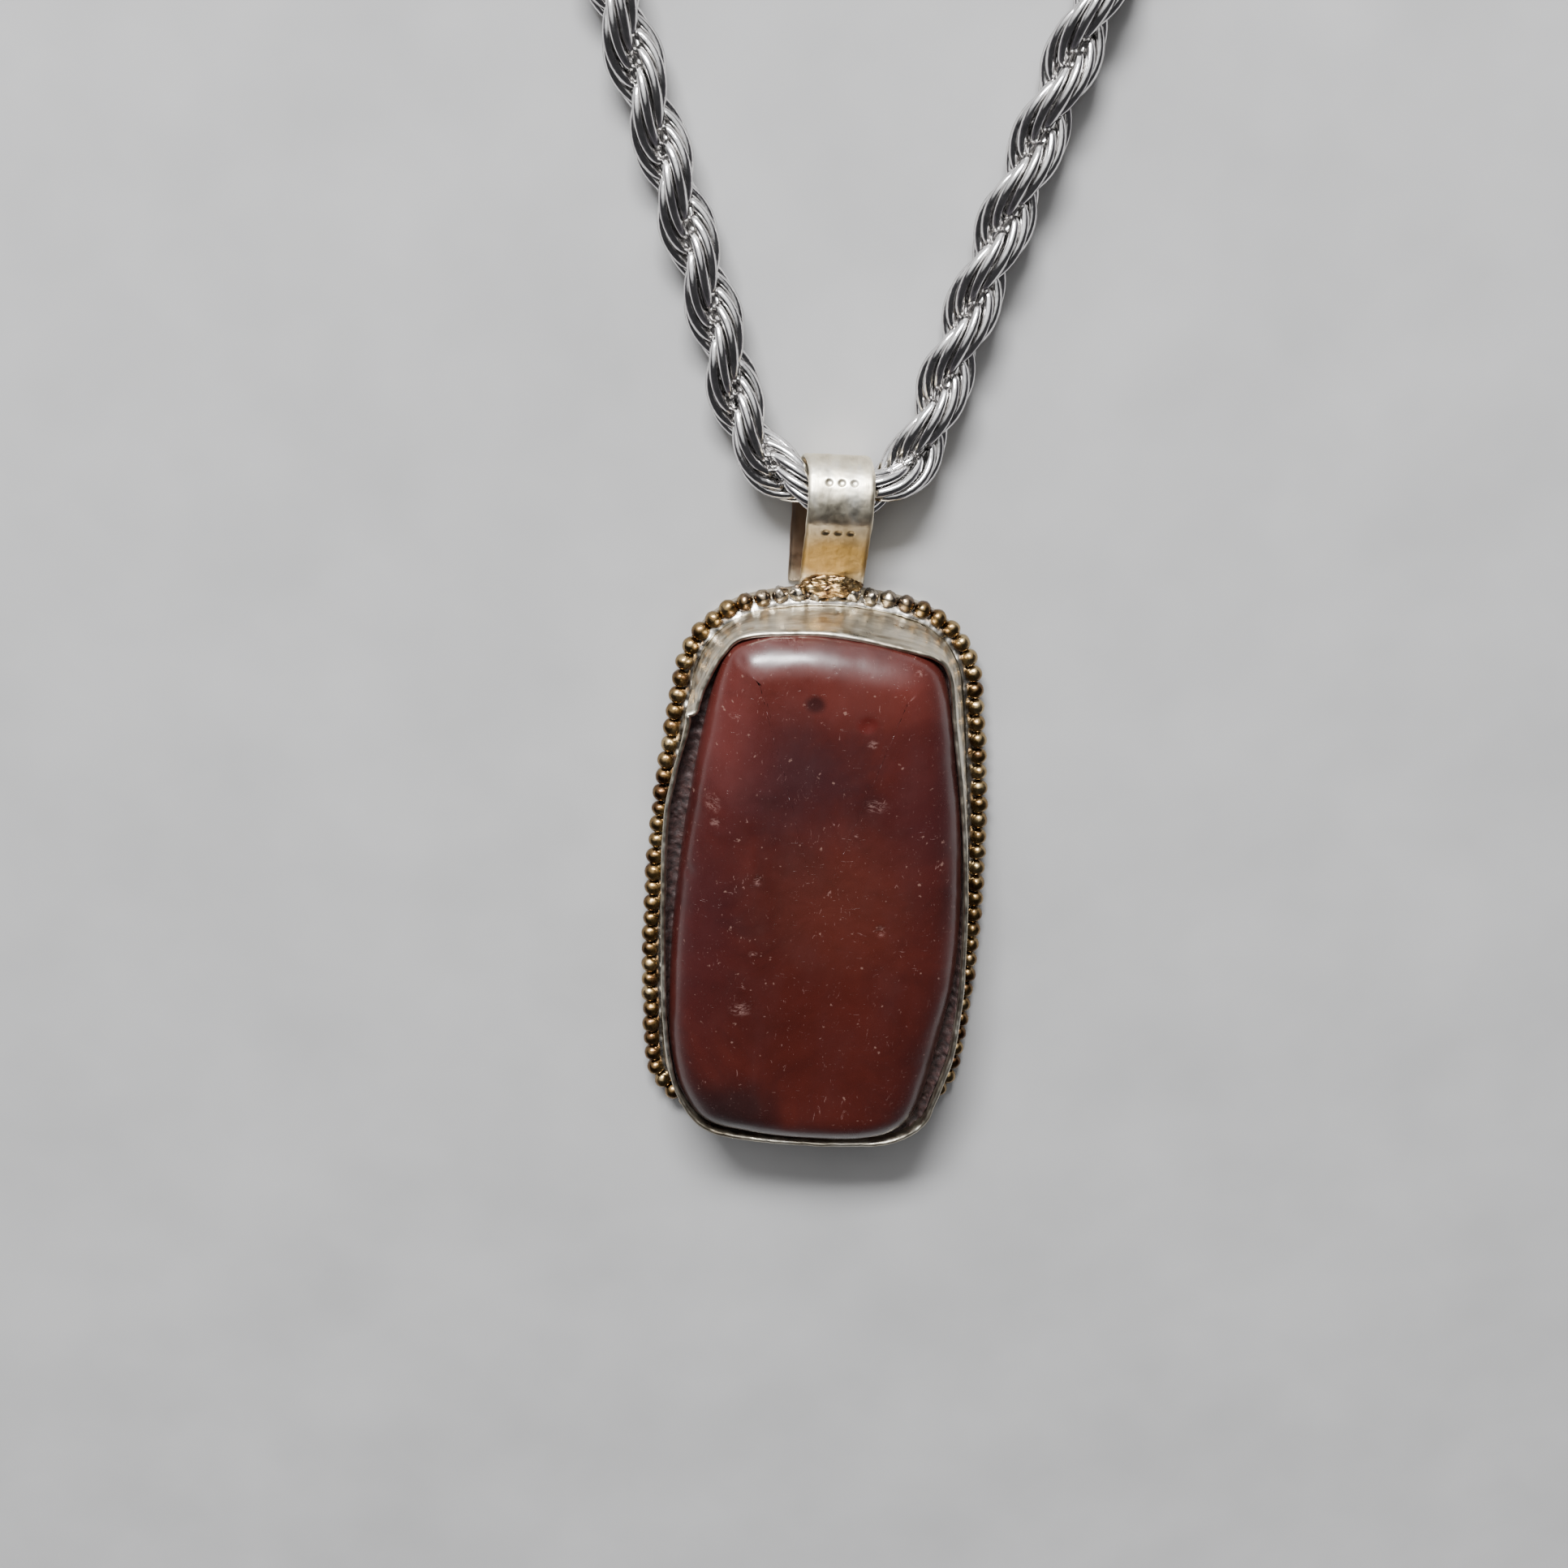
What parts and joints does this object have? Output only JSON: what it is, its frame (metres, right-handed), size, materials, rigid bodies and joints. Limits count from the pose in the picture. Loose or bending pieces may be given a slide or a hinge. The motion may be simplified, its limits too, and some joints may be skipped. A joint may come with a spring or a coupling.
{
  "type": "pendant necklace",
  "caption": "Barrel-shaped red-brown stone in a tall strip bezel with a beaded border, hung by a strap bail from a steel rope chain with a lobster clasp.",
  "frame": {"origin": "middle of the footprint of the pendant and its bail, on the plane that they lie on", "axes": "+Z is the normal of the back plate, out of the stone's face; +Y runs along the pendant towards the bail; +X to the right"},
  "size_m": [0.0638, 0.1928, 0.0107],
  "materials": {
    "stone": "polished with small pits and scratches",
    "cement": "granular, unpolished resin",
    "bezel": "worn satin silver-toned strip",
    "solder": "bright flowed solder",
    "plate": "dull sheet metal",
    "granules": "bronze-toned beads with worn bright tops",
    "bail": "worn silver over gold-toned metal",
    "gold_solder": "rough gold-toned solder",
    "chain": "polished steel",
    "findings": "polished steel"
  },
  "bodies": {
    "chain": {"rope_chain": "chain", "end_cap_left": "findings", "end_cap_right": "findings"},
    "pendant": {"back_plate": "plate", "beaded_border": "granules", "bezel_foot_wire": "solder", "bezel_wall": "bezel", "stone": "stone", "setting_cement": "cement", "bail_strap": "bail", "bail_solder": "gold_solder"},
    "clasp_ring": {"clasp_ring": "findings"},
    "clasp": {"clasp_body": "findings", "clasp_pin": "findings", "clasp_spring": "findings"},
    "clasp_trigger": {"clasp_trigger": "findings"},
    "catch_ring": {"catch_ring": "findings"}
  },
  "joints": [
    {"name": "pendant_swing", "type": "hinge", "parent": "chain", "child": "pendant", "pos_m": [-0.0004, 0.0311, 0.0039], "axis": [-1, 0, 0], "range_deg": [0, 130]},
    {"name": "clasp_ring_turn", "type": "hinge", "parent": "chain", "child": "clasp_ring", "pos_m": [-0.01452, 0.11131, 0.00295], "axis": [0, 0, 1], "range_deg": [-30, 30]},
    {"name": "clasp_turn", "type": "hinge", "parent": "clasp_ring", "child": "clasp", "pos_m": [-0.01429, 0.10756, 0.0016], "axis": [0, 0, 1], "range_deg": [-30, 30]},
    {"name": "clasp_trigger_press", "type": "hinge", "parent": "clasp", "child": "clasp_trigger", "pos_m": [-0.0125, 0.10356, 0.0016], "axis": [0, 0, 1], "range_deg": [-24, 0], "stiffness_Nm_per_rad": 0.0005, "springref_deg": 8.59},
    {"name": "catch_ring_turn", "type": "hinge", "parent": "chain", "child": "catch_ring", "pos_m": [-0.00836, 0.08869, 0.00295], "axis": [0, 0, 1], "range_deg": [-30, 30]}
  ]
}
